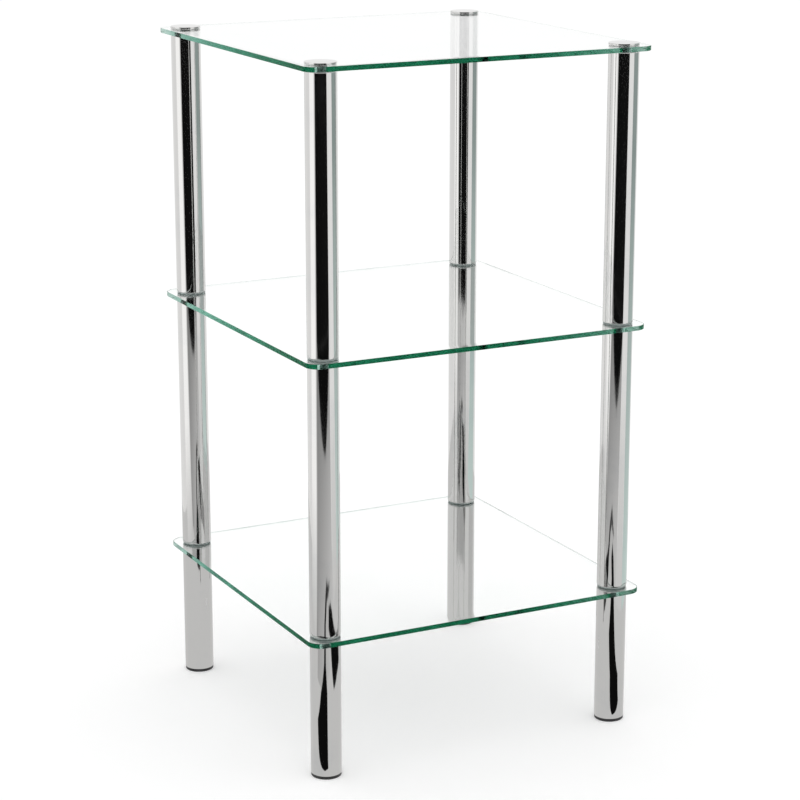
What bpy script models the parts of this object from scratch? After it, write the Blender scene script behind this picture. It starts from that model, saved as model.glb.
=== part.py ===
"""Glass etagere: three clear shelves clamped between the stacked chrome tubes of four legs.

Units are metres, +Z is up, and the origin is on the floor at the centre of the four legs.
Each leg is a stack: glide, foot tube, bottom shelf, middle tube, middle shelf, upper tube,
top shelf and cap. A threaded stud passes through every shelf and pulls the stack together.
"""

import math

import bmesh
import bpy

# Shelves
LEG_SPACING = 0.340
GLASS_OVERHANG = 0.024
GLASS_THICKNESS = 0.005
GLASS_CORNER_RADIUS = 0.015
GLASS_ARRIS = 0.0005

# Leg tubes
TUBE_DIAMETER = 0.032
TUBE_WALL = 0.0012
TUBE_END_CHAMFER = 0.0007
FOOT_TUBE_LENGTH = 0.142
SHELF_TUBE_LENGTH = 0.281

# Studs and the plugs pressed into the tube ends
STUD_DIAMETER = 0.008
STUD_ENGAGEMENT = 0.012
STUD_TIP_CHAMFER = 0.001
PLUG_LENGTH = 0.018

# Clear grommets that keep metal off the glass
GROMMET_FLANGE_THICKNESS = 0.001
GROMMET_FLANGE_SETBACK = 0.0005
GROMMET_SLEEVE_WALL = 0.0015

# Top caps and floor glides
CAP_THICKNESS = 0.0022
CAP_RIM_WALL = 0.0012
CAP_CHAMFER = 0.0004
GLIDE_HEIGHT = 0.003
GLIDE_SETBACK = 0.0003
GLIDE_EDGE_CHAMFER = 0.001
GLIDE_PLUG_LENGTH = 0.012

# Clearances: faces that rest on each other, and a round piece in its hole
SEAT_GAP = 0.0003
BORE_CLEARANCE = 0.0003

# How finely round shapes are faceted
TUBE_SIDES = 24
STUD_SIDES = 16
CORNER_STEPS = 6
MERGE_DISTANCE = 1e-6
SMOOTH_ANGLE = math.radians(40)

# Sizes that follow from the ones above
GLASS_SIDE = LEG_SPACING + 2 * GLASS_OVERHANG
TUBE_RADIUS = TUBE_DIAMETER / 2
TUBE_BORE_RADIUS = TUBE_RADIUS - TUBE_WALL
PLUG_RADIUS = TUBE_BORE_RADIUS - BORE_CLEARANCE
STUD_RADIUS = STUD_DIAMETER / 2
STUD_HOLE_RADIUS = STUD_RADIUS + BORE_CLEARANCE
SLEEVE_RADIUS = STUD_HOLE_RADIUS + GROMMET_SLEEVE_WALL
GLASS_HOLE_RADIUS = SLEEVE_RADIUS + BORE_CLEARANCE
FLANGE_RADIUS = TUBE_RADIUS - GROMMET_FLANGE_SETBACK
FLANGE_SEAT = SEAT_GAP + GROMMET_FLANGE_THICKNESS + SEAT_GAP
CAP_RECESS_RADIUS = TUBE_RADIUS - CAP_RIM_WALL
CAP_RECESS_DEPTH = GROMMET_FLANGE_THICKNESS + SEAT_GAP
CAPPED_FLANGE_RADIUS = CAP_RECESS_RADIUS - BORE_CLEARANCE
SHELF_STACK = FLANGE_SEAT + GLASS_THICKNESS + FLANGE_SEAT
STUD_REACH = SHELF_STACK + STUD_ENGAGEMENT

# Heights of the stack, from the floor up
FOOT_TUBE_BOTTOM = GLIDE_HEIGHT + SEAT_GAP
BOTTOM_JOINT = FOOT_TUBE_BOTTOM + FOOT_TUBE_LENGTH
MIDDLE_TUBE_BOTTOM = BOTTOM_JOINT + SHELF_STACK
MIDDLE_JOINT = MIDDLE_TUBE_BOTTOM + SHELF_TUBE_LENGTH
UPPER_TUBE_BOTTOM = MIDDLE_JOINT + SHELF_STACK
TOP_JOINT = UPPER_TUBE_BOTTOM + SHELF_TUBE_LENGTH
CAP_SEAT = TOP_JOINT + SHELF_STACK
JOINTS = {"bottom": BOTTOM_JOINT, "middle": MIDDLE_JOINT, "top": TOP_JOINT}

# Leg places on the plan: sign along X (right) and along Y (back)
LEGS = {
    "front_left": (-1, -1),
    "front_right": (1, -1),
    "back_left": (-1, 1),
    "back_right": (1, 1),
}


def clear_scene():
    """Remove every object that the file opened with."""
    for thing in list(bpy.data.objects):
        bpy.data.objects.remove(thing, do_unlink=True)


def finish(name, color, roughness, metallic=0.0, transmission=0.0):
    """A plain material with one colour, roughness and metallic value."""
    material = bpy.data.materials.new(name)
    material.use_nodes = True
    shader = material.node_tree.nodes["Principled BSDF"]
    shader.inputs["Base Color"].default_value = (*color, 1.0)
    shader.inputs["Roughness"].default_value = roughness
    shader.inputs["Metallic"].default_value = metallic
    shader.inputs["Transmission Weight"].default_value = transmission
    return material


def place(name, mesh, material, parent, height):
    """Put a mesh into the scene as a named piece on its parent, at a height."""
    if not mesh.materials:
        mesh.materials.append(material)
    piece = bpy.data.objects.new(name, mesh)
    bpy.context.collection.objects.link(piece)
    piece.parent = parent
    piece.location = (0.0, 0.0, height)
    return piece


def smooth(mesh):
    """Shade the round faces smooth and keep the real edges sharp."""
    mesh.shade_smooth()
    mesh.set_sharp_from_angle(angle=SMOOTH_ANGLE)


def turned(name, profile, sides, ring):
    """Spin a profile of (radius, height) points about Z; a ring joins its last point to its first."""
    shape = bmesh.new()
    points = [shape.verts.new((radius, 0.0, height)) for radius, height in profile]
    links = list(zip(points, points[1:]))
    if ring:
        links.append((points[-1], points[0]))
    lines = [shape.edges.new(link) for link in links]
    bmesh.ops.spin(shape, geom=points + lines, cent=(0, 0, 0), axis=(0, 0, 1),
                   angle=2 * math.pi, steps=sides, use_merge=True)
    bmesh.ops.remove_doubles(shape, verts=shape.verts, dist=MERGE_DISTANCE)
    bmesh.ops.recalc_face_normals(shape, faces=shape.faces)
    mesh = bpy.data.meshes.new(name)
    shape.to_mesh(mesh)
    shape.free()
    smooth(mesh)
    return mesh


def tube_mesh(length):
    """A length of tube whose outer end edges are eased."""
    ease = min(TUBE_END_CHAMFER, TUBE_WALL / 2)
    return turned("tube", [
        (TUBE_BORE_RADIUS, 0.0),
        (TUBE_RADIUS - ease, 0.0),
        (TUBE_RADIUS, ease),
        (TUBE_RADIUS, length - ease),
        (TUBE_RADIUS - ease, length),
        (TUBE_BORE_RADIUS, length),
    ], TUBE_SIDES, ring=True)


def socket_mesh():
    """A plug with a threaded hole through it, which takes the stud from the next tube."""
    return turned("socket", [
        (STUD_HOLE_RADIUS, 0.0),
        (PLUG_RADIUS, 0.0),
        (PLUG_RADIUS, PLUG_LENGTH),
        (STUD_HOLE_RADIUS, PLUG_LENGTH),
    ], STUD_SIDES, ring=True)


def stud_plug_mesh():
    """A plug flush with the tube's top end, with the stud that goes up through the shelf."""
    return turned("stud_plug", [
        (0.0, -PLUG_LENGTH),
        (PLUG_RADIUS, -PLUG_LENGTH),
        (PLUG_RADIUS, 0.0),
        (STUD_RADIUS, 0.0),
        (STUD_RADIUS, STUD_REACH - STUD_TIP_CHAMFER),
        (STUD_RADIUS - STUD_TIP_CHAMFER, STUD_REACH),
        (0.0, STUD_REACH),
    ], STUD_SIDES, ring=False)


def grommet_mesh(name, upper_radius):
    """A soft sleeve through the glass with a flange under it and one of a given radius over it."""
    lower_face = SEAT_GAP
    under_glass = lower_face + GROMMET_FLANGE_THICKNESS
    upper_face = SHELF_STACK - SEAT_GAP
    over_glass = upper_face - GROMMET_FLANGE_THICKNESS
    return turned(name, [
        (STUD_HOLE_RADIUS, lower_face),
        (FLANGE_RADIUS, lower_face),
        (FLANGE_RADIUS, under_glass),
        (SLEEVE_RADIUS, under_glass),
        (SLEEVE_RADIUS, over_glass),
        (upper_radius, over_glass),
        (upper_radius, upper_face),
        (STUD_HOLE_RADIUS, upper_face),
    ], STUD_SIDES, ring=True)


def cap_mesh():
    """A flat cap with its own stud: its rim comes down to the glass round the flange in its recess."""
    top = CAP_THICKNESS - CAP_RECESS_DEPTH
    return turned("cap", [
        (0.0, -STUD_REACH),
        (STUD_RADIUS - STUD_TIP_CHAMFER, -STUD_REACH),
        (STUD_RADIUS, -STUD_REACH + STUD_TIP_CHAMFER),
        (STUD_RADIUS, 0.0),
        (CAP_RECESS_RADIUS, 0.0),
        (CAP_RECESS_RADIUS, -CAP_RECESS_DEPTH),
        (TUBE_RADIUS, -CAP_RECESS_DEPTH),
        (TUBE_RADIUS, top - CAP_CHAMFER),
        (TUBE_RADIUS - CAP_CHAMFER, top),
        (0.0, top),
    ], TUBE_SIDES, ring=False)


def glide_mesh():
    """A floor glide: a disc under the tube and a plug pressed up into it."""
    disc_radius = TUBE_RADIUS - GLIDE_SETBACK
    return turned("glide", [
        (0.0, 0.0),
        (disc_radius - GLIDE_EDGE_CHAMFER, 0.0),
        (disc_radius, GLIDE_EDGE_CHAMFER),
        (disc_radius, GLIDE_HEIGHT),
        (PLUG_RADIUS, GLIDE_HEIGHT),
        (PLUG_RADIUS, GLIDE_HEIGHT + GLIDE_PLUG_LENGTH),
        (0.0, GLIDE_HEIGHT + GLIDE_PLUG_LENGTH),
    ], TUBE_SIDES, ring=False)


def shelf_mesh():
    """A square pane with rounded corners and eased edges, without its holes."""
    shape = bmesh.new()
    bmesh.ops.create_cube(shape, size=1.0)
    bmesh.ops.scale(shape, vec=(GLASS_SIDE, GLASS_SIDE, GLASS_THICKNESS), verts=shape.verts)
    upright = [e for e in shape.edges if e.verts[0].co.z * e.verts[1].co.z < 0]
    bmesh.ops.bevel(shape, geom=upright, offset=GLASS_CORNER_RADIUS, offset_type="OFFSET",
                    segments=CORNER_STEPS, profile=0.5, affect="EDGES")
    rim = [e for e in shape.edges if e.verts[0].co.z * e.verts[1].co.z > 0]
    bmesh.ops.bevel(shape, geom=rim, offset=GLASS_ARRIS, offset_type="OFFSET",
                    segments=1, profile=0.5, affect="EDGES")
    mesh = bpy.data.meshes.new("shelf")
    shape.to_mesh(mesh)
    shape.free()
    return mesh


def hole_drill(name, leg):
    """A cutter along a leg's axis for the stud holes in the shelves."""
    mesh = turned(name, [
        (0.0, 0.0),
        (GLASS_HOLE_RADIUS, 0.0),
        (GLASS_HOLE_RADIUS, CAP_SEAT),
        (0.0, CAP_SEAT),
    ], STUD_SIDES, ring=False)
    drill = bpy.data.objects.new(name, mesh)
    bpy.context.collection.objects.link(drill)
    drill.parent = leg
    drill.hide_render = True
    drill.display_type = "WIRE"
    return drill


def build_legs(frame, chrome, steel, clear_plastic, black_plastic):
    """Stack the pieces of each leg on an empty at its place, and return the empties by name."""
    foot_tube = tube_mesh(FOOT_TUBE_LENGTH)
    shelf_tube = tube_mesh(SHELF_TUBE_LENGTH)
    socket = socket_mesh()
    stud_plug = stud_plug_mesh()
    grommet = grommet_mesh("grommet", FLANGE_RADIUS)
    capped_grommet = grommet_mesh("capped_grommet", CAPPED_FLANGE_RADIUS)
    grommets = {"bottom": grommet, "middle": grommet, "top": capped_grommet}
    cap = cap_mesh()
    glide = glide_mesh()
    legs = {}
    for where, (side, depth) in LEGS.items():
        leg = bpy.data.objects.new(f"leg_{where}", None)
        bpy.context.collection.objects.link(leg)
        leg.parent = frame
        leg.location = (side * LEG_SPACING / 2, depth * LEG_SPACING / 2, 0.0)
        legs[where] = leg
        place(f"glide_{where}", glide, black_plastic, leg, 0.0)
        place(f"foot_tube_{where}", foot_tube, chrome, leg, FOOT_TUBE_BOTTOM)
        place(f"foot_stud_plug_{where}", stud_plug, steel, leg, BOTTOM_JOINT)
        place(f"middle_socket_{where}", socket, steel, leg, MIDDLE_TUBE_BOTTOM)
        place(f"middle_tube_{where}", shelf_tube, chrome, leg, MIDDLE_TUBE_BOTTOM)
        place(f"middle_stud_plug_{where}", stud_plug, steel, leg, MIDDLE_JOINT)
        place(f"upper_socket_{where}", socket, steel, leg, UPPER_TUBE_BOTTOM)
        place(f"upper_tube_{where}", shelf_tube, chrome, leg, UPPER_TUBE_BOTTOM)
        place(f"cap_socket_{where}", socket, steel, leg, TOP_JOINT - PLUG_LENGTH)
        place(f"cap_{where}", cap, chrome, leg, CAP_SEAT)
        for level, joint in JOINTS.items():
            place(f"{level}_grommet_{where}", grommets[level], clear_plastic, leg, joint)
    return legs


def build_shelves(frame, legs, glass):
    """Place a drilled pane at each joint."""
    drills = [hole_drill(f"drill_{where}", leg) for where, leg in legs.items()]
    for level, joint in JOINTS.items():
        pane_middle = joint + FLANGE_SEAT + GLASS_THICKNESS / 2
        shelf = place(f"{level}_shelf", shelf_mesh(), glass, frame, pane_middle)
        for drill in drills:
            cut = shelf.modifiers.new(drill.name, "BOOLEAN")
            cut.operation = "DIFFERENCE"
            cut.solver = "EXACT"
            cut.object = drill


def main():
    """Build the whole etagere."""
    clear_scene()
    chrome = finish("chrome", (0.63, 0.63, 0.62), 0.05, metallic=1.0)
    steel = finish("zinc_plated_steel", (0.62, 0.62, 0.60), 0.35, metallic=1.0)
    glass = finish("clear_glass", (0.86, 0.95, 0.91), 0.0, transmission=1.0)
    clear_plastic = finish("clear_plastic", (0.82, 0.87, 0.84), 0.25, transmission=0.6)
    black_plastic = finish("black_plastic", (0.015, 0.015, 0.016), 0.5)
    frame = bpy.data.objects.new("etagere", None)
    bpy.context.collection.objects.link(frame)
    legs = build_legs(frame, chrome, steel, clear_plastic, black_plastic)
    build_shelves(frame, legs, glass)


main()
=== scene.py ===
"""Dress the glass etagere: chrome tube legs, polished glass shelves, clear grommets, black glides.

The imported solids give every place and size. This script makes the finished surfaces over them,
and the studio, the light and the camera that show them.
"""

import logging
import math
from dataclasses import dataclass, field
from enum import Enum
from typing import Any, Callable, ClassVar

import bmesh
import bpy
from bpy.types import Material, Mesh, Node, NodeSocket, NodeTree, Object
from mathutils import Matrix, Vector


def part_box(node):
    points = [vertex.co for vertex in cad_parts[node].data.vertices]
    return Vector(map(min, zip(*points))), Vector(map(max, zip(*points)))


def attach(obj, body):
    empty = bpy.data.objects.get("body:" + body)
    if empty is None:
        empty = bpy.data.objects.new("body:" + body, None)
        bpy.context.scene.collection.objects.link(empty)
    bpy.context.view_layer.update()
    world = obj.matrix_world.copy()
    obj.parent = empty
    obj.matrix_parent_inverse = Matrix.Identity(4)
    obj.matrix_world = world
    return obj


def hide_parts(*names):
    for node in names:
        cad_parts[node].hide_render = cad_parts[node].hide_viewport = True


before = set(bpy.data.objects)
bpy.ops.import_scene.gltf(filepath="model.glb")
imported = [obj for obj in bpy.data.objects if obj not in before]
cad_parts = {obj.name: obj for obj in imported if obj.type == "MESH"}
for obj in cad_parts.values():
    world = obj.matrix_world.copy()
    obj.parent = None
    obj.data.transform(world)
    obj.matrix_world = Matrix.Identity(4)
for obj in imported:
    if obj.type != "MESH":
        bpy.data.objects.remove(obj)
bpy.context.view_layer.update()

LOG = logging.getLogger("etagere")
BODY = "root"
MILLIMETRE = 0.001
MERGE_DISTANCE = 1e-7
SMOOTH_ANGLE = math.radians(35)
WHITE = (1.0, 1.0, 1.0, 1.0)
CARD_BLACK = 0.006

Colour = tuple[float, float, float, float]
Triple = tuple[float, float, float]
Pair = tuple[float, float]
Profile = list[Pair]


class Corner(Enum):
    """The four legs, by their place on the plan."""

    FRONT_LEFT = "front_left"
    FRONT_RIGHT = "front_right"
    BACK_LEFT = "back_left"
    BACK_RIGHT = "back_right"


class Level(Enum):
    """The three shelves, from the floor up."""

    BOTTOM = "bottom"
    MIDDLE = "middle"
    TOP = "top"


class TubeRun(Enum):
    """The three lengths of tube in a leg, from the floor up."""

    FOOT = "foot_tube"
    MIDDLE = "middle_tube"
    UPPER = "upper_tube"


class Slot(Enum):
    """The record's material slots."""

    GLASS = "clear_glass"
    CHROME = "chrome"
    STEEL = "zinc_plated_steel"
    CLEAR_PLASTIC = "clear_plastic"
    BLACK_PLASTIC = "black_plastic"


class Look(Enum):
    """The finishes, of which the glass has two."""

    GLASS_FACE = "float_glass"
    GLASS_RIM = "polished_glass_rim"
    CHROME = "polished_chrome"
    STEEL = "zinc_steel"
    CLEAR_PLASTIC = "clear_soft_plastic"
    BLACK_PLASTIC = "moulded_black_plastic"


class Kind(Enum):
    """The kinds of socket that node groups have."""

    NUMBER = "NodeSocketFloat"
    COUNT = "NodeSocketInt"
    VECTOR = "NodeSocketVector"
    OBJECT = "NodeSocketObject"
    MATERIAL = "NodeSocketMaterial"
    GEOMETRY = "NodeSocketGeometry"


class Wiring:
    """Adds and links the nodes of one tree."""

    FIRST_COLOUR: ClassVar[int] = 6
    SECOND_COLOUR: ClassVar[int] = 7
    MIXED_COLOUR: ClassVar[int] = 2

    def __init__(self, tree: NodeTree) -> None:
        """Keep the tree that the nodes go into."""
        self.tree = tree

    @classmethod
    def material(cls, name: str) -> tuple[Material, "Wiring"]:
        """Start a material.

        Args:
            name: the material's name.

        Returns:
            The material and its wiring.
        """
        material = bpy.data.materials.new(name)
        material.use_nodes = True
        return material, cls(material.node_tree)

    def feed(self, socket: NodeSocket, value: Any) -> None:
        """Link a socket to another socket, or set its plain value.

        Args:
            socket: the input to feed.
            value: an output socket to link, or a number, vector or colour to set.
        """
        if isinstance(value, NodeSocket):
            self.tree.links.new(value, socket)
        else:
            socket.default_value = value

    def add(self, kind: str, inputs: dict[Any, Any] | None = None, **settings: Any) -> Node:
        """Add a node with its settings and inputs.

        Args:
            kind: the node's type name.
            inputs: values or sockets by input name or number.
            **settings: the node's own properties.

        Returns:
            The new node.
        """
        node = self.tree.nodes.new(kind)
        for name, value in settings.items():
            setattr(node, name, value)
        for name, value in (inputs or {}).items():
            self.feed(node.inputs[name], value)
        return node

    def calc(self, operation: str, *terms: Any) -> NodeSocket:
        """Add a Math node.

        Args:
            operation: the node's operation, such as MULTIPLY.
            *terms: its inputs in order, as numbers or sockets.

        Returns:
            The node's value output.
        """
        return self.add("ShaderNodeMath", dict(enumerate(terms)), operation=operation).outputs[0]

    def part(self, vector: NodeSocket, axis: str) -> NodeSocket:
        """One part of a vector, by the axis's letter."""
        return self.add("ShaderNodeSeparateXYZ", {0: vector}).outputs[axis]

    def spread(self, value: NodeSocket, limits: Pair) -> NodeSocket:
        """A value stretched from between two limits to between 0 and 1."""
        return self.add("ShaderNodeMapRange", {
            "Value": value, "From Min": limits[0], "From Max": limits[1]}, clamp=True).outputs[0]

    def mix_colour(self, factor: Any, first: Any, second: Any) -> NodeSocket:
        """Blend two colours, with the factor as the share of the second."""
        colours = {0: factor, self.FIRST_COLOUR: first, self.SECOND_COLOUR: second}
        return self.add("ShaderNodeMix", colours, data_type="RGBA").outputs[self.MIXED_COLOUR]

    def mix_shaders(self, factor: NodeSocket, first: Node, second: Node) -> Node:
        """Blend two shaders, with the factor as the share of the second."""
        return self.add("ShaderNodeMixShader", {0: factor, 1: first.outputs[0], 2: second.outputs[0]})

    def finish(self, name: str, shader: Node) -> None:
        """Link a shader to one of the material's own outputs."""
        self.feed(self.tree.nodes["Material Output"].inputs[name], shader.outputs[0])


class GroupTree(Wiring):
    """A node group, with the sockets that give its inputs and those that take its outputs."""

    def __init__(self, name: str, tree_kind: str, inputs: dict[str, Kind],
                 outputs: dict[str, Kind]) -> None:
        """Start the group.

        Args:
            name: the group's name.
            tree_kind: the type of its tree.
            inputs: kinds of socket by input name.
            outputs: kinds of socket by output name.
        """
        super().__init__(bpy.data.node_groups.new(name, tree_kind))
        for side, sockets in (("INPUT", inputs), ("OUTPUT", outputs)):
            for label, kind in sockets.items():
                self.tree.interface.new_socket(label, in_out=side, socket_type=kind.value)
        self.given = self.add("NodeGroupInput").outputs
        self.out = self.add("NodeGroupOutput").inputs


class HandlingMarks(GroupTree):
    """Faint blotches and wipes left by hands and a cloth, as a roughness and a mask."""

    BLOTCHES: ClassVar[Pair] = (0.50, 0.70)
    WIPES_TO_A_BLOTCH: ClassVar[float] = 7.0

    def __init__(self) -> None:
        """Build the group."""
        super().__init__(
            "handling_marks", "ShaderNodeTree",
            {"Vector": Kind.VECTOR, "Scale": Kind.NUMBER,
             "Clean Roughness": Kind.NUMBER, "Marked Roughness": Kind.NUMBER},
            {"Roughness": Kind.NUMBER, "Mask": Kind.NUMBER})
        place, scale, clean, marked, *_ = self.given
        blotch = self.add("ShaderNodeTexNoise", {
            "Vector": place, "Scale": scale, "Detail": 4.0, "Roughness": 0.62, "Distortion": 0.6})
        wipe = self.add("ShaderNodeTexNoise", {
            "Vector": place, "Detail": 3.0, "Scale": self.calc("MULTIPLY", scale, self.WIPES_TO_A_BLOTCH)})
        mask = self.calc("MULTIPLY", self.spread(blotch.outputs[0], self.BLOTCHES), wipe.outputs[0])
        span = self.calc("SUBTRACT", marked, clean)
        self.feed(self.out["Roughness"], self.calc("MULTIPLY_ADD", mask, span, clean))
        self.feed(self.out["Mask"], mask)


class FineLines(GroupTree):
    """Hairlines from polishing, drawing or moulding, stretched along one direction, as a height."""

    def __init__(self) -> None:
        """Build the group."""
        super().__init__(
            "fine_lines", "ShaderNodeTree",
            {"Vector": Kind.VECTOR, "Stretch": Kind.VECTOR}, {"Height": Kind.NUMBER})
        drawn = self.add("ShaderNodeVectorMath", {
            0: self.given["Vector"], 1: self.given["Stretch"]}, operation="MULTIPLY")
        grain = self.add("ShaderNodeTexNoise", {
            "Vector": drawn.outputs[0], "Scale": 1.0, "Detail": 3.0, "Roughness": 0.55})
        self.feed(self.out["Height"], grain.outputs[0])


class SettledDust(GroupTree):
    """A thin film of dust on the faces that look up, as a mask."""

    LOOKING_UP: ClassVar[Pair] = (0.6, 1.0)

    def __init__(self) -> None:
        """Build the group."""
        super().__init__(
            "settled_dust", "ShaderNodeTree",
            {"Vector": Kind.VECTOR, "Scale": Kind.NUMBER, "Amount": Kind.NUMBER},
            {"Mask": Kind.NUMBER})
        facing = self.part(self.add("ShaderNodeNewGeometry").outputs["Normal"], "Z")
        speck = self.add("ShaderNodeTexNoise", {
            "Vector": self.given["Vector"], "Scale": self.given["Scale"],
            "Detail": 6.0, "Roughness": 0.7})
        film = self.calc("MULTIPLY", self.spread(facing, self.LOOKING_UP), speck.outputs[0])
        self.feed(self.out["Mask"], self.calc("MULTIPLY", film, self.given["Amount"]))


class Effects:
    """The shader node groups that more than one finish uses, each built once."""

    def __init__(self) -> None:
        """Build the groups."""
        self.marks, self.lines, self.dust = HandlingMarks().tree, FineLines().tree, SettledDust().tree


@dataclass(frozen=True)
class Dust:
    """A film of dust on what looks up."""

    colour: Colour
    scale: float
    amount: float


@dataclass(frozen=True)
class Lines:
    """Hairlines or grain, with the depth of the relief in metres."""

    stretch: Triple
    strength: float
    depth: float


@dataclass(frozen=True)
class Clearness:
    """What glass adds to a finish: soft streaks, a way through for lamp light, green in its depth."""

    streak_scale: float
    passing_tone: Colour
    mirror_tone: Colour = WHITE
    green_left: Colour = WHITE
    green_density: float = 0.0

    STREAKS: ClassVar[Pair] = (0.38, 0.62)

    def streaks(self, wiring: Wiring, place: NodeSocket) -> NodeSocket:
        """A mask of soft streaks."""
        noise = {"Vector": place, "Scale": self.streak_scale, "Detail": 3.0}
        return wiring.spread(wiring.add("ShaderNodeTexNoise", noise).outputs[0], self.STREAKS)

    def open_up(self, wiring: Wiring, shader: Node) -> None:
        """Let lamp light through to the floor, and turn long ways through the glass green.

        Args:
            wiring: the material's wiring.
            shader: the glass surface's shader.
        """
        shader.inputs["Specular Tint"].default_value = self.mirror_tone
        passing = wiring.add("ShaderNodeBsdfTransparent", {"Color": self.passing_tone})
        shadow = wiring.add("ShaderNodeLightPath").outputs["Is Shadow Ray"]
        wiring.finish("Surface", wiring.mix_shaders(shadow, shader, passing))
        if self.green_density:
            wiring.finish("Volume", wiring.add("ShaderNodeVolumeAbsorption", {
                "Color": self.green_left, "Density": self.green_density}))


@dataclass(frozen=True)
class Finish:
    """A surface whose colour and gloss change where it was handled, and the record's slot for it."""

    look: Look
    slot: Slot
    colour: Colour
    worn_colour: Colour
    roughness: Pair
    mark_scale: float
    metallic: float = 0.0
    transmission: float = 0.0
    ior: float = 1.5
    dust: Dust | None = None
    lines: Lines | None = None
    clearness: Clearness | None = None

    def make(self, effects: Effects) -> Material:
        """Build the material.

        Args:
            effects: the shared node groups.

        Returns:
            The material.
        """
        material, wiring = Wiring.material(self.look.value)
        shader = material.node_tree.nodes["Principled BSDF"]
        place = wiring.add("ShaderNodeTexCoord").outputs["Object"]
        marks = wiring.add("ShaderNodeGroup", {
            "Vector": place, "Scale": self.mark_scale, "Clean Roughness": self.roughness[0],
            "Marked Roughness": self.roughness[1]}, node_tree=effects.marks).outputs
        worn = self.clearness.streaks(wiring, place) if self.clearness else marks["Mask"]
        tone = wiring.mix_colour(worn, self.colour, self.worn_colour)
        if self.dust:
            film = wiring.add("ShaderNodeGroup", {
                "Vector": place, "Scale": self.dust.scale, "Amount": self.dust.amount},
                node_tree=effects.dust)
            tone = wiring.mix_colour(film.outputs["Mask"], tone, self.dust.colour)
        if self.lines:
            grain = wiring.add("ShaderNodeGroup", {
                "Vector": place, "Stretch": self.lines.stretch}, node_tree=effects.lines)
            relief = wiring.add("ShaderNodeBump", {
                "Strength": self.lines.strength, "Distance": self.lines.depth,
                "Height": grain.outputs["Height"]})
            wiring.feed(shader.inputs["Normal"], relief.outputs[0])
        for name, value in (
                ("Base Color", tone), ("Roughness", marks["Roughness"]), ("Metallic", self.metallic),
                ("IOR", self.ior), ("Transmission Weight", self.transmission)):
            wiring.feed(shader.inputs[name], value)
        if self.clearness:
            self.clearness.open_up(wiring, shader)
        return material


class FinishRack:
    """All finishes of the etagere, made once."""

    FINISHES: ClassVar[tuple[Finish, ...]] = (
        Finish(Look.GLASS_FACE, Slot.GLASS, (0.99, 0.997, 0.994, 1.0), (0.975, 0.99, 0.983, 1.0),
               roughness=(0.0, 0.02), mark_scale=6.0, transmission=1.0, ior=1.52,
               clearness=Clearness(streak_scale=9.0, passing_tone=(0.95, 0.98, 0.965, 1.0))),
        Finish(Look.GLASS_RIM, Slot.GLASS, (0.60, 0.70, 0.66, 1.0), (0.36, 0.47, 0.43, 1.0),
               roughness=(0.16, 0.30), mark_scale=40.0, transmission=1.0, ior=1.12,
               clearness=Clearness(
                   streak_scale=26.0, passing_tone=(0.45, 0.75, 0.62, 1.0),
                   mirror_tone=(0.25, 0.85, 0.60, 1.0),
                   green_left=(0.0, 0.61, 0.44, 1.0), green_density=9.0)),
        Finish(Look.CHROME, Slot.CHROME, (0.63, 0.625, 0.615, 1.0), (0.57, 0.575, 0.575, 1.0),
               roughness=(0.05, 0.11), mark_scale=14.0, metallic=1.0,
               dust=Dust((0.74, 0.73, 0.70, 1.0), scale=420.0, amount=0.10),
               lines=Lines((12.0, 12.0, 2600.0), strength=0.004, depth=0.02 * MILLIMETRE)),
        Finish(Look.STEEL, Slot.STEEL, (0.56, 0.56, 0.53, 1.0), (0.42, 0.42, 0.41, 1.0),
               roughness=(0.28, 0.5), mark_scale=120.0, metallic=1.0,
               lines=Lines((30.0, 30.0, 2200.0), strength=0.3, depth=0.05 * MILLIMETRE)),
        Finish(Look.CLEAR_PLASTIC, Slot.CLEAR_PLASTIC, (0.62, 0.70, 0.68, 1.0), (0.50, 0.58, 0.56, 1.0),
               roughness=(0.18, 0.38), mark_scale=160.0, transmission=0.5),
        Finish(Look.BLACK_PLASTIC, Slot.BLACK_PLASTIC,
               (0.012, 0.012, 0.013, 1.0), (0.055, 0.055, 0.055, 1.0),
               roughness=(0.42, 0.68), mark_scale=90.0,
               dust=Dust((0.30, 0.29, 0.27, 1.0), scale=500.0, amount=0.12),
               lines=Lines((1800.0, 1800.0, 1800.0), strength=0.25, depth=0.08 * MILLIMETRE)),
    )

    def __init__(self) -> None:
        """Build every material."""
        effects = Effects()
        self.materials = {finish.look: finish.make(effects) for finish in self.FINISHES}
        self.slots = {finish.look: finish.slot for finish in self.FINISHES}


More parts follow.
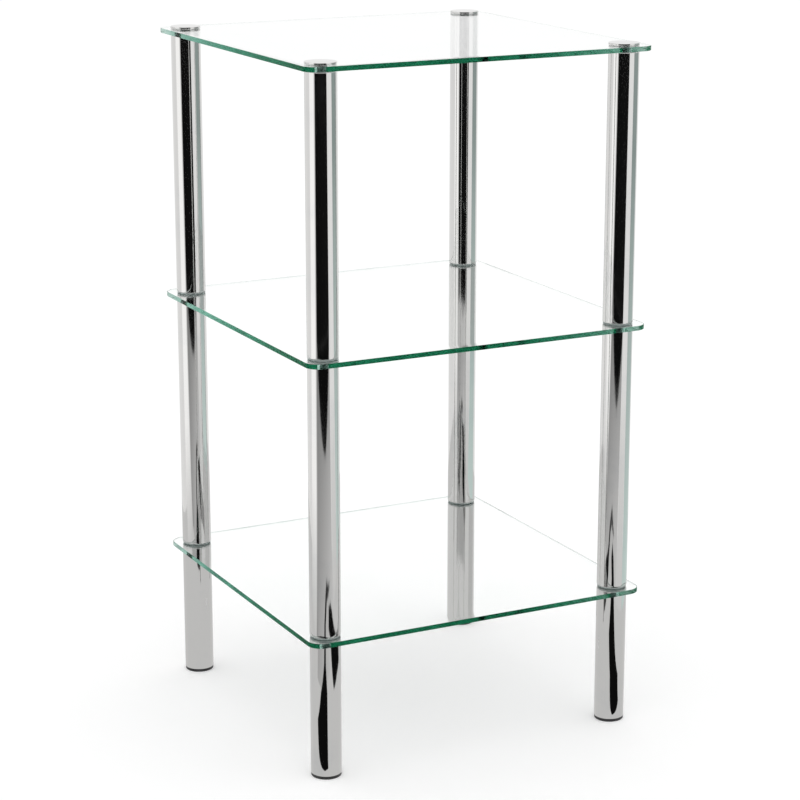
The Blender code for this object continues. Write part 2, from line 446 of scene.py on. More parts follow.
class Workshop:
    """Turns profiles and node trees into plain meshes, and hands finished pieces to the frame."""

    def __init__(self, finishes: FinishRack) -> None:
        """Keep the finishes that pieces are dressed with."""
        self.finishes = finishes

    @staticmethod
    def placed(name: str, data: bpy.types.ID | None) -> Object:
        """Make an object of its data and link it to the scene.

        Args:
            name: the object's name.
            data: its mesh, lamp or camera.

        Returns:
            The object.
        """
        thing = bpy.data.objects.new(name, data)
        bpy.context.scene.collection.objects.link(thing)
        return thing

    @staticmethod
    def meshed(name: str, shape: bmesh.types.BMesh, material: Material) -> Mesh:
        """Turn a shape into a mesh in one material, and free the shape.

        Args:
            name: the mesh's name.
            shape: the shape.
            material: its material.

        Returns:
            The mesh.
        """
        mesh = bpy.data.meshes.new(name)
        shape.to_mesh(mesh)
        shape.free()
        mesh.materials.append(material)
        return mesh

    @staticmethod
    def arc(centre: Pair, radius: float, start: float, end: float, steps: int) -> Profile:
        """Points on an arc of a profile.

        Args:
            centre: the arc's centre as radius and height.
            radius: the arc's own radius.
            start: first angle in degrees, from straight out.
            end: last angle in degrees.
            steps: spaces between the points.

        Returns:
            The points, first to last.
        """
        turns = [math.radians(start + (end - start) * i / steps) for i in range(steps + 1)]
        return [(centre[0] + radius * math.cos(t), centre[1] + radius * math.sin(t)) for t in turns]

    @classmethod
    def edge(cls, rim: float, low: float, high: float, rounding: Pair,
             steps: tuple[int, int]) -> Profile:
        """The outer edge of a disc, rounded below and above.

        Args:
            rim: the disc's radius.
            low: the height of its underside.
            high: the height of its top.
            rounding: the radius of the lower and of the upper rounding.
            steps: spaces between the points of each.

        Returns:
            The points, from the underside up.
        """
        (below, above), (steps_below, steps_above) = rounding, steps
        return [*cls.arc((rim - below, low + below), below, -90, 0, steps_below),
                *cls.arc((rim - above, high - above), above, 0, 90, steps_above)]

    def turned(self, name: str, profile: Profile, sides: int, place: Vector, look: Look) -> Mesh:
        """Spin a profile about an upright axis, as a ring if it begins clear of the axis.

        Args:
            name: the mesh's name.
            profile: radius and height of each point.
            sides: facets round the axis.
            place: where the axis meets height 0.
            look: its finish.

        Returns:
            A closed mesh with its faces outwards.
        """
        shape = bmesh.new()
        points = [shape.verts.new((radius, 0.0, height)) for radius, height in profile]
        links = list(zip(points, points[1:]))
        if profile[0][0] > 0:
            links.append((points[-1], points[0]))
        lines = [shape.edges.new(link) for link in links]
        bmesh.ops.spin(shape, geom=points + lines, cent=(0, 0, 0), axis=(0, 0, 1),
                       angle=2 * math.pi, steps=sides, use_merge=True)
        bmesh.ops.remove_doubles(shape, verts=shape.verts, dist=MERGE_DISTANCE)
        bmesh.ops.recalc_face_normals(shape, faces=shape.faces)
        bmesh.ops.translate(shape, vec=place, verts=shape.verts)
        return self.meshed(name, shape, self.finishes.materials[look])

    def grown(self, name: str, tree: NodeTree, inputs: dict[str, Any]) -> Mesh:
        """Run a geometry node tree and keep its result as a plain mesh.

        Args:
            name: the mesh's name.
            tree: the node tree.
            inputs: values by input name, with a look for a material.

        Returns:
            The plain mesh.
        """
        holder = self.placed(name, bpy.data.meshes.new(f"{name}_seed"))
        grow = holder.modifiers.new("grow", "NODES")
        grow.node_group = tree
        identifiers = {item.name: item.identifier for item in tree.interface.items_tree
                       if item.in_out == "INPUT"}
        for label, value in inputs.items():
            is_look = isinstance(value, Look)
            grow[identifiers[label]] = self.finishes.materials[value] if is_look else value
        graph = bpy.context.evaluated_depsgraph_get()
        mesh = bpy.data.meshes.new_from_object(holder.evaluated_get(graph))
        mesh.name = name
        bpy.data.objects.remove(holder, do_unlink=True)
        return mesh

    @staticmethod
    def true_normals(piece: Object) -> None:
        """Let the wide faces set the normals, so that roundings don't bend what they mirror.

        Args:
            piece: the piece, whose mesh is replaced by one with the set normals.
        """
        weigh = piece.modifiers.new("weigh", "WEIGHTED_NORMAL")
        weigh.mode = "FACE_AREA"
        weigh.weight = 100
        weigh.keep_sharp = True
        graph = bpy.context.evaluated_depsgraph_get()
        settled = bpy.data.meshes.new_from_object(piece.evaluated_get(graph))
        piece.modifiers.remove(weigh)
        settled.name = piece.data.name
        piece.data = settled

    def hand_over(self, mesh: Mesh, look: Look, *nodes: str) -> None:
        """Put a finished mesh in place of its solids.

        Args:
            mesh: the piece's mesh, with its name and its finish.
            look: its main finish; not used.
            *nodes: the solids that it stands for.
        """
        mesh.shade_smooth()
        mesh.set_sharp_from_angle(angle=SMOOTH_ANGLE)
        piece = self.placed(mesh.name, mesh)
        self.true_normals(piece)
        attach(piece, BODY)
        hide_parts(*nodes)
        LOG.info("%s: %d faces for %s", piece.name, len(piece.data.polygons), ", ".join(nodes))


class GeometryTree(GroupTree):
    """A geometry node tree, with the steps that more than one tree takes."""

    def __init__(self, name: str, inputs: dict[str, Kind]) -> None:
        """Start the tree, with the kinds of socket by input name."""
        super().__init__(name, "GeometryNodeTree", inputs, {"Geometry": Kind.GEOMETRY})

    def moved(self, geometry: NodeSocket, offset: NodeSocket) -> NodeSocket:
        """Geometry moved by an offset."""
        return self.add("GeometryNodeSetPosition", {"Geometry": geometry, "Offset": offset}).outputs[0]

    def up(self, height: NodeSocket) -> NodeSocket:
        """A vector that points up by a height."""
        return self.add("ShaderNodeCombineXYZ", {"Z": height}).outputs[0]

    def dressed(self, geometry: NodeSocket, material: str, faces: Any = True) -> NodeSocket:
        """Geometry with some or all of its faces in the material of a named input."""
        return self.add("GeometryNodeSetMaterial", {
            "Geometry": geometry, "Selection": faces, "Material": self.given[material]}).outputs[0]

    def joined(self, first: NodeSocket, second: NodeSocket) -> NodeSocket:
        """Put two parts together.

        Args:
            first: one part.
            second: the other part.

        Returns:
            Both parts.
        """
        node = self.add("GeometryNodeJoinGeometry", {0: first})
        self.feed(node.inputs[0], second)
        return node.outputs[0]

    def filleted(self, width: NodeSocket, height: NodeSocket, radius: NodeSocket, steps: int) -> NodeSocket:
        """Draw a rectangle with rounded corners.

        Args:
            width: its full width.
            height: its full height.
            radius: the corners' radius.
            steps: points on each corner.

        Returns:
            The closed curve.
        """
        sharp = self.add("GeometryNodeCurvePrimitiveQuadrilateral", {"Width": width, "Height": height})
        return self.add("GeometryNodeFilletCurve", {
            "Curve": sharp.outputs[0], "Count": steps, "Radius": radius, "Limit Radius": True},
            mode="POLY").outputs[0]

    def on_legs(self, piece: NodeSocket) -> NodeSocket:
        """Repeat a piece on the four leg axes, which the tree's Leg Spacing places.

        Args:
            piece: the piece, at the origin.

        Returns:
            The copies.
        """
        spacing = self.given["Leg Spacing"]
        legs = self.add("GeometryNodeMeshGrid", {
            "Size X": spacing, "Size Y": spacing, "Vertices X": 2, "Vertices Y": 2}).outputs[0]
        copies = self.add("GeometryNodeInstanceOnPoints", {"Points": legs, "Instance": piece})
        return self.add("GeometryNodeRealizeInstances", {0: copies.outputs[0]}).outputs[0]


class TubeTree(GeometryTree):
    """A tube: its wall section, with rounded ends, swept round a circle."""

    END_STEPS: ClassVar[int] = 5

    def __init__(self) -> None:
        """Build the tree."""
        super().__init__("swept_tube", {
            "Outer Radius": Kind.NUMBER, "Wall": Kind.NUMBER, "Length": Kind.NUMBER,
            "End Rounding": Kind.NUMBER, "Place": Kind.VECTOR, "Sides": Kind.COUNT,
            "Material": Kind.MATERIAL})
        size = self.given
        half_wall = self.calc("MULTIPLY", size["Wall"], 0.5)
        path = self.add("GeometryNodeCurvePrimitiveCircle", {
            "Resolution": size["Sides"],
            "Radius": self.calc("SUBTRACT", size["Outer Radius"], half_wall)})
        section = self.filleted(size["Wall"], size["Length"], size["End Rounding"], self.END_STEPS)
        swept = self.add("GeometryNodeCurveToMesh", {"Curve": path.outputs[0], "Profile Curve": section})
        lift = self.up(self.calc("MULTIPLY", size["Length"], 0.5))
        stand = self.add("ShaderNodeVectorMath", {0: size["Place"], 1: lift}, operation="ADD")
        placed = self.moved(swept.outputs[0], stand.outputs[0])
        self.feed(self.out["Geometry"], self.dressed(placed, "Material"))


class PaneTree(GeometryTree):
    """A shelf: a filleted square with a hole at each leg, filled and thickened.

    The sheet is drawn smaller by the arris and grown in steps. Each ring of points then moves
    out by its part of a quarter circle, which rounds every edge.
    """

    CORNER_STEPS: ClassVar[int] = 14
    ARRIS_STEPS: ClassVar[int] = 3
    HOLE_SIDES: ClassVar[int] = 40
    LEVEL: ClassVar[float] = 0.99
    HOLES_TO_RIM: ClassVar[float] = 2.0

    def __init__(self) -> None:
        """Build the tree."""
        super().__init__("drilled_pane", {
            "Side": Kind.NUMBER, "Corner Radius": Kind.NUMBER, "Thickness": Kind.NUMBER,
            "Arris": Kind.NUMBER, "Leg Spacing": Kind.NUMBER, "Hole Radius": Kind.NUMBER,
            "Underside": Kind.NUMBER, "Material": Kind.MATERIAL, "Rim Material": Kind.MATERIAL})
        size = self.given
        side = self.calc("MULTIPLY_ADD", size["Arris"], -2.0, size["Side"])
        radius = self.calc("SUBTRACT", size["Corner Radius"], size["Arris"])
        outline = self.filleted(side, side, radius, self.CORNER_STEPS)
        hole = self.add("GeometryNodeCurvePrimitiveCircle", {
            "Resolution": self.HOLE_SIDES,
            "Radius": self.calc("ADD", size["Hole Radius"], size["Arris"])})
        lines = self.joined(outline, self.on_legs(hole.outputs[0]))
        sheet = self.add("GeometryNodeFillCurve", {"Curve": lines}, mode="TRIANGLES").outputs[0]
        under = self.add("GeometryNodeFlipFaces", {"Mesh": sheet}).outputs[0]
        whole = self.add("GeometryNodeMergeByDistance", {
            "Geometry": self.joined(self._grown(sheet), under), "Distance": MERGE_DISTANCE})
        eased = self._rounded(whole.outputs[0])
        placed = self.moved(eased, self.up(size["Underside"]))
        pane = self.dressed(placed, "Material")
        self.feed(self.out["Geometry"], self.dressed(pane, "Rim Material", self._rim()))

    def _grown(self, sheet: NodeSocket) -> NodeSocket:
        """Thicken a sheet with rings of points close together at both edges.

        Args:
            sheet: the flat sheet.

        Returns:
            The thickened sheet, open underneath.
        """
        arris = self.given["Arris"]
        turns = [math.pi / 2 * i / self.ARRIS_STEPS for i in range(self.ARRIS_STEPS + 1)]
        rises = [math.cos(a) - math.cos(b) for a, b in zip(turns, turns[1:])]
        straight = self.calc("MULTIPLY_ADD", arris, -2.0, self.given["Thickness"])
        steps = [self.calc("MULTIPLY", arris, rise) for rise in rises]
        grown, top = sheet, True
        for step in [*steps, straight, *reversed(steps)]:
            more = self.add("GeometryNodeExtrudeMesh", {
                "Mesh": grown, "Selection": top, "Offset Scale": step, "Individual": False}, mode="FACES")
            grown, top = more.outputs["Mesh"], more.outputs["Top"]
        return grown

    def _rounded(self, slab: NodeSocket) -> NodeSocket:
        """Move each ring of a stepped slab out to a quarter circle.

        Args:
            slab: the slab, with its underside at height 0.

        Returns:
            The rounded slab.
        """
        arris = self.given["Arris"]
        height = self.part(self.add("GeometryNodeInputPosition").outputs[0], "Z")
        depth = self.calc("MINIMUM", height, self.calc("SUBTRACT", self.given["Thickness"], height))
        short = self.calc("SUBTRACT", arris, self.calc("MINIMUM", depth, arris))
        squares = self.calc("SUBTRACT", self.calc("MULTIPLY", arris, arris),
                            self.calc("MULTIPLY", short, short))
        swell = self.calc("SQRT", self.calc("MAXIMUM", squares, 0.0))
        outward = self.add("ShaderNodeVectorMath", {
            0: self.add("GeometryNodeInputNormal").outputs[0], "Scale": swell}, operation="SCALE")
        return self.moved(slab, outward.outputs[0])

    def _rim(self) -> NodeSocket:
        """Pick the faces round the pane that don't lie level, and not the walls of the holes.

        Returns:
            The mask's socket.
        """
        facing = self.part(self.add("GeometryNodeInputNormal").outputs[0], "Z")
        steep = self.calc("LESS_THAN", self.calc("ABSOLUTE", facing), self.LEVEL)
        place = self.add("GeometryNodeInputPosition").outputs[0]
        sides = [self.calc("ABSOLUTE", self.part(place, axis)) for axis in "XY"]
        past_holes = self.calc("MULTIPLY", self.given["Hole Radius"], self.HOLES_TO_RIM)
        reach = self.calc("MULTIPLY_ADD", self.given["Leg Spacing"], 0.5, past_holes)
        return self.calc("MULTIPLY", steep, self.calc("GREATER_THAN", self.calc("MAXIMUM", *sides), reach))


class LegTree(GeometryTree):
    """A small piece repeated on the four leg axes."""

    def __init__(self) -> None:
        """Build the tree."""
        super().__init__("at_the_legs", {
            "Piece": Kind.OBJECT, "Leg Spacing": Kind.NUMBER, "Height": Kind.NUMBER,
            "Material": Kind.MATERIAL})
        piece = self.add("GeometryNodeObjectInfo", {"Object": self.given["Piece"]}).outputs["Geometry"]
        raised = self.moved(self.on_legs(piece), self.up(self.given["Height"]))
        self.feed(self.out["Geometry"], self.dressed(raised, "Material"))


@dataclass
class LegPlan:
    """Sizes and places of the legs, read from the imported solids."""

    spacing: float
    tube_radius: float

    @classmethod
    def measure(cls) -> "LegPlan":
        """Read the plan off the solids.

        Returns:
            The plan.
        """
        left = cls.axis(TubeRun.UPPER, Corner.FRONT_LEFT)
        right = cls.axis(TubeRun.UPPER, Corner.FRONT_RIGHT)
        low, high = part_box(f"{TubeRun.UPPER.value}_{Corner.FRONT_LEFT.value}")
        return cls(spacing=right.x - left.x, tube_radius=(high.x - low.x) / 2)

    @staticmethod
    def axis(run: TubeRun, corner: Corner) -> Vector:
        """The foot of a tube's axis."""
        low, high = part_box(f"{run.value}_{corner.value}")
        return Vector(((low.x + high.x) / 2, (low.y + high.y) / 2, low.z))


@dataclass
class SubAssembly:
    """A set of like pieces, the shop that makes them and the plan that places them."""

    shop: Workshop
    plan: LegPlan

    def turn_on_legs(self, kind: str, state: str, look: Look, sides: int,
                     profile: Callable[[float], Profile]) -> None:
        """Make one turned piece for each leg.

        Args:
            kind: what the solids' names begin with.
            state: what the pieces' names end with.
            look: the pieces' finish.
            sides: facets round the axis.
            profile: gives the section of a piece, from its foot up, by its height.
        """
        for corner in Corner:
            node = f"{kind}_{corner.value}"
            low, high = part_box(node)
            place = self.plan.axis(TubeRun.UPPER, corner)
            place.z = low.z
            mesh = self.shop.turned(f"{node}_{state}", profile(high.z - low.z), sides, place, look)
            self.shop.hand_over(mesh, look, node)


@dataclass
class ChromeTubes(SubAssembly):
    """The tubes of the legs, with rolled ends."""

    wall: float = 1.2 * MILLIMETRE
    end_rounding: float = 0.58 * MILLIMETRE
    sides: int = 128

    def build(self) -> None:
        """Make every tube of every leg."""
        tree = TubeTree().tree
        for run in TubeRun:
            for corner in Corner:
                node = f"{run.value}_{corner.value}"
                low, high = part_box(node)
                mesh = self.shop.grown(f"{node}_plated", tree, {
                    "Outer Radius": self.plan.tube_radius, "Wall": self.wall,
                    "Length": high.z - low.z, "End Rounding": self.end_rounding,
                    "Place": self.plan.axis(run, corner), "Sides": self.sides,
                    "Material": Look.CHROME})
                self.shop.hand_over(mesh, Look.CHROME, node)


@dataclass
class GlassShelves(SubAssembly):
    """The panes, with polished rims and drilled holes."""

    corner_radius: float = 15.0 * MILLIMETRE
    hole_radius: float = 6.1 * MILLIMETRE
    arris: float = 0.5 * MILLIMETRE

    def build(self) -> None:
        """Make the three panes."""
        tree = PaneTree().tree
        for level in Level:
            node = f"{level.value}_shelf"
            low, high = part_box(node)
            mesh = self.shop.grown(f"{node}_pane", tree, {
                "Side": high.x - low.x, "Corner Radius": self.corner_radius,
                "Thickness": high.z - low.z, "Arris": self.arris, "Leg Spacing": self.plan.spacing,
                "Hole Radius": self.hole_radius, "Underside": low.z,
                "Material": Look.GLASS_FACE, "Rim Material": Look.GLASS_RIM})
            self.shop.hand_over(mesh, Look.GLASS_FACE, node)


@dataclass
class ClearGrommets(SubAssembly):
    """The soft sleeves and flanges that seat the tubes on the glass, four to a shelf."""

    flange_setback: float = 0.5 * MILLIMETRE
    capped_setback: float = 1.5 * MILLIMETRE
    flange_thickness: float = 1.54 * MILLIMETRE
    sleeve_radius: float = 5.8 * MILLIMETRE
    bore_radius: float = 4.3 * MILLIMETRE
    lips: Pair = (0.5 * MILLIMETRE, 0.5 * MILLIMETRE)
    lip_steps: tuple[int, int] = (4, 4)
    press: float = 0.27 * MILLIMETRE
    sides: int = 96

    def profile(self, height: float, capped: bool) -> Profile:
        """The section of one grommet, pressed against tube and glass.

        Args:
            height: from the underside of its lower flange to the top of its upper one.
            capped: True if its upper flange sits in the recess of a cap.

        Returns:
            The closed profile, from the bore outwards and up.
        """
        rim = self.plan.tube_radius - self.flange_setback
        upper_rim = self.plan.tube_radius - self.capped_setback if capped else rim
        thick, upper = self.flange_thickness, height - self.flange_thickness
        return [
            (self.bore_radius, 0.0),
            *Workshop.edge(rim, 0.0, thick, self.lips, self.lip_steps),
            (self.sleeve_radius, thick),
            (self.sleeve_radius, upper),
            *Workshop.edge(upper_rim, upper, height, self.lips, self.lip_steps),
            (self.bore_radius, height),
        ]

    def build(self) -> None:
        """Make the grommets of each shelf."""
        tree = LegTree().tree
        for level in Level:
            nodes = [f"{level.value}_grommet_{corner.value}" for corner in Corner]
            low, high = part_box(nodes[0])
            section = self.profile(high.z - low.z + 2 * self.press, level is Level.TOP)
            one = self.shop.turned(
                f"{level.value}_grommet", section, self.sides, Vector(), Look.CLEAR_PLASTIC)
            pattern = self.shop.placed(one.name, one)
            mesh = self.shop.grown(f"{level.value}_shelf_grommets", tree, {
                "Piece": pattern, "Leg Spacing": self.plan.spacing, "Height": low.z - self.press,
                "Material": Look.CLEAR_PLASTIC})
            bpy.data.objects.remove(pattern, do_unlink=True)
            self.shop.hand_over(mesh, Look.CLEAR_PLASTIC, *nodes)


@dataclass
class TopCaps(SubAssembly):
    """The flat caps that screw down on the top shelf."""

    rim_height: float = 2.2 * MILLIMETRE
    rim_wall: float = 1.2 * MILLIMETRE
    rim_roundings: Pair = (0.15 * MILLIMETRE, 0.3 * MILLIMETRE)
    rim_steps: tuple[int, int] = (3, 6)
    web: float = 0.9 * MILLIMETRE
    crown: float = 0.1 * MILLIMETRE
    press: float = 0.25 * MILLIMETRE
    stud_radius: float = 4.0 * MILLIMETRE
    tip_chamfer: float = 1.0 * MILLIMETRE
    thread_pitch: float = 1.25 * MILLIMETRE
    thread_depth: float = 0.55 * MILLIMETRE
    sides: int = 128

    def profile(self, height: float) -> Profile:
        """The section of a cap with its stud and the recess over the flange.

        Args:
            height: from the stud's tip to the crown.

        Returns:
            The profile, from the stud's tip on the axis to the crown on the axis.
        """
        edge, recess = self.plan.tube_radius, height - self.web
        inner, foot = edge - self.rim_wall, height - self.rim_height - self.press
        ridges: Profile = []
        for i in range(int((recess - 2 * self.tip_chamfer) / self.thread_pitch)):
            root = self.tip_chamfer + i * self.thread_pitch
            ridges.append((self.stud_radius, root + self.thread_pitch / 4))
            ridges.append((self.stud_radius - self.thread_depth, root + self.thread_pitch * 3 / 4))
        return [
            (0.0, 0.0),
            (self.stud_radius - self.tip_chamfer, 0.0),
            *ridges,
            (self.stud_radius, recess - self.tip_chamfer),
            (self.stud_radius, recess),
            (inner, recess),
            (inner, foot),
            *Workshop.edge(edge, foot, height - self.crown, self.rim_roundings, self.rim_steps),
            (edge / 2, height - self.crown / 4),
            (0.0, height),
        ]

    def build(self) -> None:
        """Make the four caps."""
        self.turn_on_legs("cap", "polished", Look.CHROME, self.sides, self.profile)


@dataclass
class FloorGlides(SubAssembly):
    """The black glides under the legs."""

    disc_height: float = 3.0 * MILLIMETRE
    setback: float = 0.3 * MILLIMETRE
    roundings: Pair = (1.0 * MILLIMETRE, 0.3 * MILLIMETRE)
    rounding_steps: tuple[int, int] = (8, 4)
    plug_radius: float = 14.5 * MILLIMETRE
    barb: float = 0.2 * MILLIMETRE
    barb_count: int = 4
    barb_shares: Triple = (0.1, 0.3, 0.9)
    sides: int = 96

    def profile(self, height: float) -> Profile:
        """The section of a glide with its barbed plug.

        Args:
            height: from the floor to the top of the plug.

        Returns:
            The profile, from the sole on the axis to the plug's top on the axis.
        """
        rim, core = self.plan.tube_radius - self.setback, self.plug_radius - self.barb
        pitch = (height - self.disc_height) / self.barb_count
        start, peak, end = self.barb_shares
        barbs: Profile = []
        for i in range(self.barb_count):
            foot = self.disc_height + i * pitch
            barbs.append((core, foot + start * pitch))
            barbs.append((self.plug_radius, foot + peak * pitch))
            barbs.append((core, foot + end * pitch))
        return [
            (0.0, 0.0),
            *Workshop.edge(rim, 0.0, self.disc_height, self.roundings, self.rounding_steps),
            (core, self.disc_height),
            *barbs,
            (core - self.barb, height),
            (0.0, height),
        ]

    def build(self) -> None:
        """Make the four glides."""
        self.turn_on_legs("glide", "moulded", Look.BLACK_PLASTIC, self.sides, self.profile)


@dataclass
class HiddenHardware(SubAssembly):
    """The plugs and studs inside the tubes, which keep their solids."""

    KINDS: ClassVar[tuple[str, ...]] = (
        "foot_stud_plug", "middle_stud_plug", "middle_socket", "upper_socket", "cap_socket")

    def build(self) -> None:
        """Give every plug its plated steel."""
        for kind in self.KINDS:
            for corner in Corner:
                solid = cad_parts[f"{kind}_{corner.value}"]
                solid.data.materials.clear()
                solid.data.materials.append(self.shop.finishes.materials[Look.STEEL])
                LOG.info("%s: plated steel", solid.name)


@dataclass(frozen=True)
class MirrorCard:
    """A card that shows only to light that has been mirrored often enough, as in a product studio."""

    name: str
    mirrors: int = field(default=1, kw_only=True)
    tint: Colour = field(default=WHITE, kw_only=True)

    def put_up(self, shape: bmesh.types.BMesh, glow: list[float]) -> None:
        """Turn a shape into a card of the stage.

        Args:
            shape: the card's shape, which is freed.
            glow: how bright the card is at each of its points.
        """
        mesh = Workshop.meshed(self.name, shape, self.material())
        light = mesh.attributes.new("glow", "FLOAT", "POINT")
        light.data.foreach_set("value", glow)
        card = Workshop.placed(self.name, mesh)
        card.visible_camera = False
        card.visible_diffuse = False
        card.visible_shadow = False

    def material(self) -> Material:
        """An even glow after the card's attribute, clear to light that was mirrored too few times.

        Returns:
            The material.
        """
        material, wiring = Wiring.material(self.name)
        glow = wiring.add("ShaderNodeAttribute", attribute_name="glow").outputs["Fac"]
        light = wiring.add("ShaderNodeEmission", {"Color": self.tint, "Strength": glow})
        clear = wiring.add("ShaderNodeBsdfTransparent")
        count = wiring.add("ShaderNodeLightPath").outputs["Glossy Depth"]
        enough = wiring.calc("GREATER_THAN", count, self.mirrors - 0.5)
        wiring.finish("Surface", wiring.mix_shaders(enough, clear, light))
        return material


@dataclass(frozen=True)
class RingCard(MirrorCard):
    """A strip of a ring round the object, along the floor or upright.

    Bearings are in degrees from the camera's side of the object, positive to its right. Each edge
    has a reach from the object's centre, a height and a glow. The glow changes along the ring by
    the slant, as a share of its value at the first bearing.
    """

    bearings: Pair
    edges: tuple[Triple, ...]
    slant: float = 0.0
    steps: int = 24

    def build(self, toward: Vector, right: Vector) -> None:
        """Make the card.

        Args:
            toward: level direction from the object to the camera.
            right: level direction to the camera's right.
        """
        shape = bmesh.new()
        first, last = (math.radians(bearing) for bearing in self.bearings)
        rows, lights = [], []
        for i in range(self.steps + 1):
            share = i / self.steps
            bearing = first + (last - first) * share
            out = toward * math.cos(bearing) + right * math.sin(bearing)
            rows.append([shape.verts.new(out * reach + Vector((0, 0, height)))
                         for reach, height, _ in self.edges])
            lights.extend(glow * (1 + self.slant * share) for _, _, glow in self.edges)
        for row, after in zip(rows, rows[1:]):
            for a, b, c, d in zip(row, row[1:], after[1:], after):
                shape.faces.new((a, b, c, d))
        self.put_up(shape, lights)


@dataclass(frozen=True)
class FloorPatch(MirrorCard):
    """A flat patch on the floor, its corners given as metres toward the camera and to its right."""

    corners: tuple[Pair, ...]
    glow: float = CARD_BLACK
    height: float = 0.004

    def build(self, toward: Vector, right: Vector) -> None:
        """Make the patch.

        Args:
            toward: level direction from the object to the camera.
            right: level direction to the camera's right.
        """
        shape = bmesh.new()
        up = Vector((0, 0, self.height))
        shape.faces.new([shape.verts.new(toward * out + right * side + up) for out, side in self.corners])
        self.put_up(shape, [self.glow] * len(self.corners))


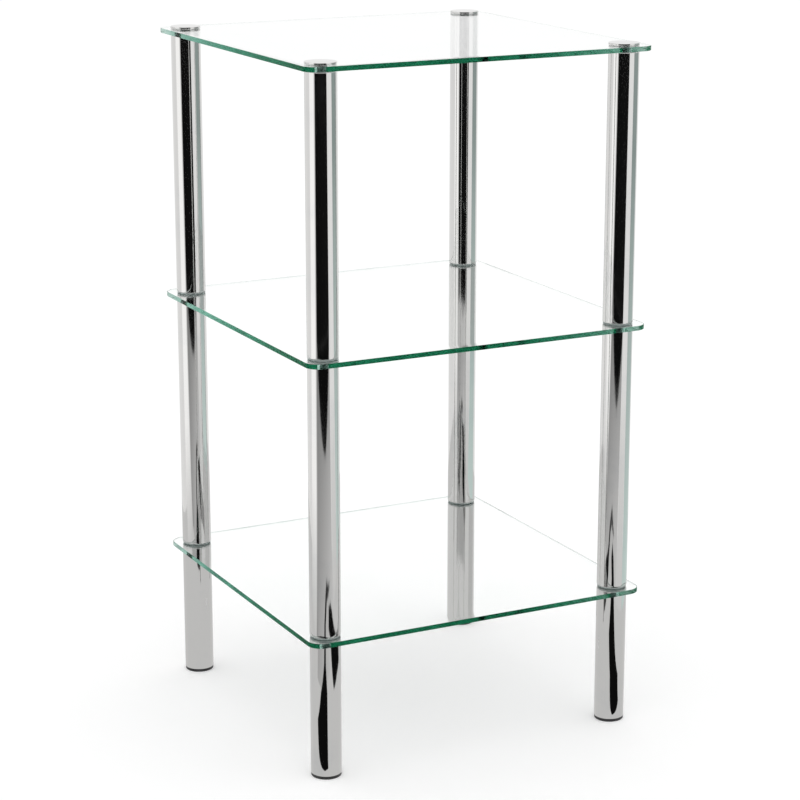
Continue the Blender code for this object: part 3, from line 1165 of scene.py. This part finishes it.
@dataclass
class Studio:
    """The floor, the light, the cards and the camera."""

    yaw: float = 26.99
    pitch: float = 14.96
    camera_place: Triple = (-1.1691, -2.2986, 1.0264)
    focal_pixels: float = 2462.0
    image_pixels: float = 800.0
    sensor: float = 36.0
    floor_size: float = 16.0
    floor_colour: Colour = (0.82, 0.82, 0.82, 1.0)
    floor_lift: float = 0.27
    world_level: float = 0.92
    lamp_watts: float = 5.0
    lamp_size: float = 1.8
    lamp_height: float = 2.4
    bounces: int = 96

    FAR: ClassVar[float] = 8.0
    LEFT_EDGES: ClassVar[tuple[Triple, ...]] = (
        (0.60, 0.002, 0.82), (1.20, 0.002, 1.34), (1.60, 0.002, 1.40), (FAR, 0.002, 1.40))
    CARDS: ClassVar[tuple[RingCard | FloorPatch, ...]] = (
        RingCard("near_floor", (-180, 180), ((0.02, 0.001, 0.78), (0.85, 0.001, 0.80)), steps=48),
        RingCard("grey_apron", (-40, 40), (
            (0.50, 0.003, 0.55), (2.10, 0.003, 0.25), (2.10, 0.006, CARD_BLACK), (FAR, 0.006, CARD_BLACK)),
            slant=0.55),
        FloorPatch("dark_point", (
            (1.38, 0.25), (1.72, -1.43), (2.10, -1.76), (2.10, 1.76), (1.58, 1.30))),
        FloorPatch("front_leaf", (
            (0.258, -0.078), (0.286, -0.146), (0.317, -0.216), (0.436, -0.209), (0.559, -0.125),
            (0.694, -0.107), (0.80, -0.02), (0.84, 0.06), (0.72, 0.31), (0.76, 0.06), (0.69, -0.03),
            (0.562, -0.05), (0.47, -0.018), (0.392, -0.036), (0.319, -0.053), (0.264, -0.066))),
        FloorPatch("right_leaf", (
            (0.10, 0.235), (0.22, 0.222), (0.286, 0.188), (0.347, 0.147), (0.447, 0.165),
            (0.552, 0.187), (0.633, 0.12), (0.70, 0.17), (0.64, 0.28), (0.543, 0.329),
            (0.345, 0.35), (0.152, 0.352), (0.105, 0.287))),
        RingCard("left_fade", (-50, -40), LEFT_EDGES, slant=-0.7),
        RingCard("left_glow", (-82, -50), LEFT_EDGES),
        RingCard("right_glow", (42, 76), (
            (0.60, 0.002, 0.85), (1.20, 0.002, 0.95), (1.60, 0.002, 1.10), (FAR, 0.002, 1.15))),
        RingCard("right_grey", (78, 128), (
            (0.60, 0.002, 0.90), (1.60, 0.002, 0.72), (4.00, 0.002, 0.44), (FAR, 0.002, 0.44)),
            tint=(0.84, 1.0, 0.97, 1.0)),
        RingCard("high_dark", (-40, 40), ((2.10, 0.10, CARD_BLACK), (2.10, 1.00, CARD_BLACK)), mirrors=2),
        RingCard("high_grey", (78, 128), ((1.60, 0.45, 0.44), (1.60, 1.60, 0.44)), mirrors=2),
    )

    def build(self) -> None:
        """Set up the whole studio."""
        self._floor()
        self._world()
        self._lamp()
        self._camera()
        turn = math.radians(self.yaw)
        toward = Vector((-math.sin(turn), -math.cos(turn), 0.0))
        right = Vector((math.cos(turn), -math.sin(turn), 0.0))
        for card in self.CARDS:
            card.build(toward, right)
        scene = bpy.context.scene
        scene.view_settings.view_transform = "Standard"
        scene.cycles.max_bounces = self.bounces
        scene.cycles.glossy_bounces = self.bounces
        scene.cycles.transmission_bounces = self.bounces

    @staticmethod
    def _seen_directly(wiring: Wiring) -> NodeSocket:
        """A mask of the rays that show the background: from the camera, off metal or through glass.

        Args:
            wiring: the wiring of the floor's or the world's nodes.

        Returns:
            The mask's socket.
        """
        rays = wiring.add("ShaderNodeLightPath").outputs
        mirrored = wiring.calc("MAXIMUM", rays["Is Glossy Ray"], rays["Is Transmission Ray"])
        return wiring.calc("MAXIMUM", rays["Is Camera Ray"], mirrored)

    def _floor(self) -> None:
        """A pale floor that reads as white and keeps the shadow."""
        half = self.floor_size / 2
        shape = bmesh.new()
        signs = ((-1, -1), (1, -1), (1, 1), (-1, 1))
        shape.faces.new([shape.verts.new((x * half, y * half, 0.0)) for x, y in signs])
        material, wiring = Wiring.material("pale_floor")
        paint = wiring.add("ShaderNodeBsdfDiffuse", {"Color": self.floor_colour})
        lift = wiring.add("ShaderNodeEmission", {
            "Strength": wiring.calc("MULTIPLY", self._seen_directly(wiring), self.floor_lift)})
        wiring.finish("Surface", wiring.add("ShaderNodeAddShader", {
            0: paint.outputs[0], 1: lift.outputs[0]}))
        floor = Workshop.placed("studio_floor", Workshop.meshed("studio_floor", shape, material))

    def _world(self) -> None:
        """An even white surround: plain white where it is seen, a plain level where it lights."""
        world = bpy.data.worlds.new("white_surround")
        world.use_nodes = True
        wiring = Wiring(world.node_tree)
        seen = self._seen_directly(wiring)
        gain = wiring.calc("MULTIPLY_ADD", seen, 1.0 - self.world_level, self.world_level)
        sky = world.node_tree.nodes["Background"]
        sky.inputs["Color"].default_value = WHITE
        wiring.feed(sky.inputs["Strength"], gain)
        bpy.context.scene.world = world

    def _lamp(self) -> None:
        """One wide soft lamp overhead."""
        data = bpy.data.lights.new("overhead_softbox", "AREA")
        data.size = self.lamp_size
        data.energy = self.lamp_watts
        lamp = Workshop.placed("overhead_softbox", data)
        lamp.location = (0.0, 0.0, self.lamp_height)

    def _camera(self) -> None:
        """The camera at the photograph's viewing angle."""
        data = bpy.data.cameras.new("camera")
        data.sensor_width = self.sensor
        data.lens = self.sensor * self.focal_pixels / self.image_pixels
        camera = Workshop.placed("camera", data)
        camera.location = self.camera_place
        camera.rotation_euler = (math.radians(90 - self.pitch), 0.0, -math.radians(self.yaw))
        bpy.context.scene.camera = camera


def main() -> None:
    """Build the studio and every piece, in order."""
    logging.basicConfig(level=logging.INFO, format="%(message)s")
    Studio().build()
    shop = Workshop(FinishRack())
    plan = LegPlan.measure()
    for assembly in (ChromeTubes, GlassShelves, ClearGrommets, TopCaps, FloorGlides, HiddenHardware):
        assembly(shop, plan).build()


if __name__ == "__main__":
    main()
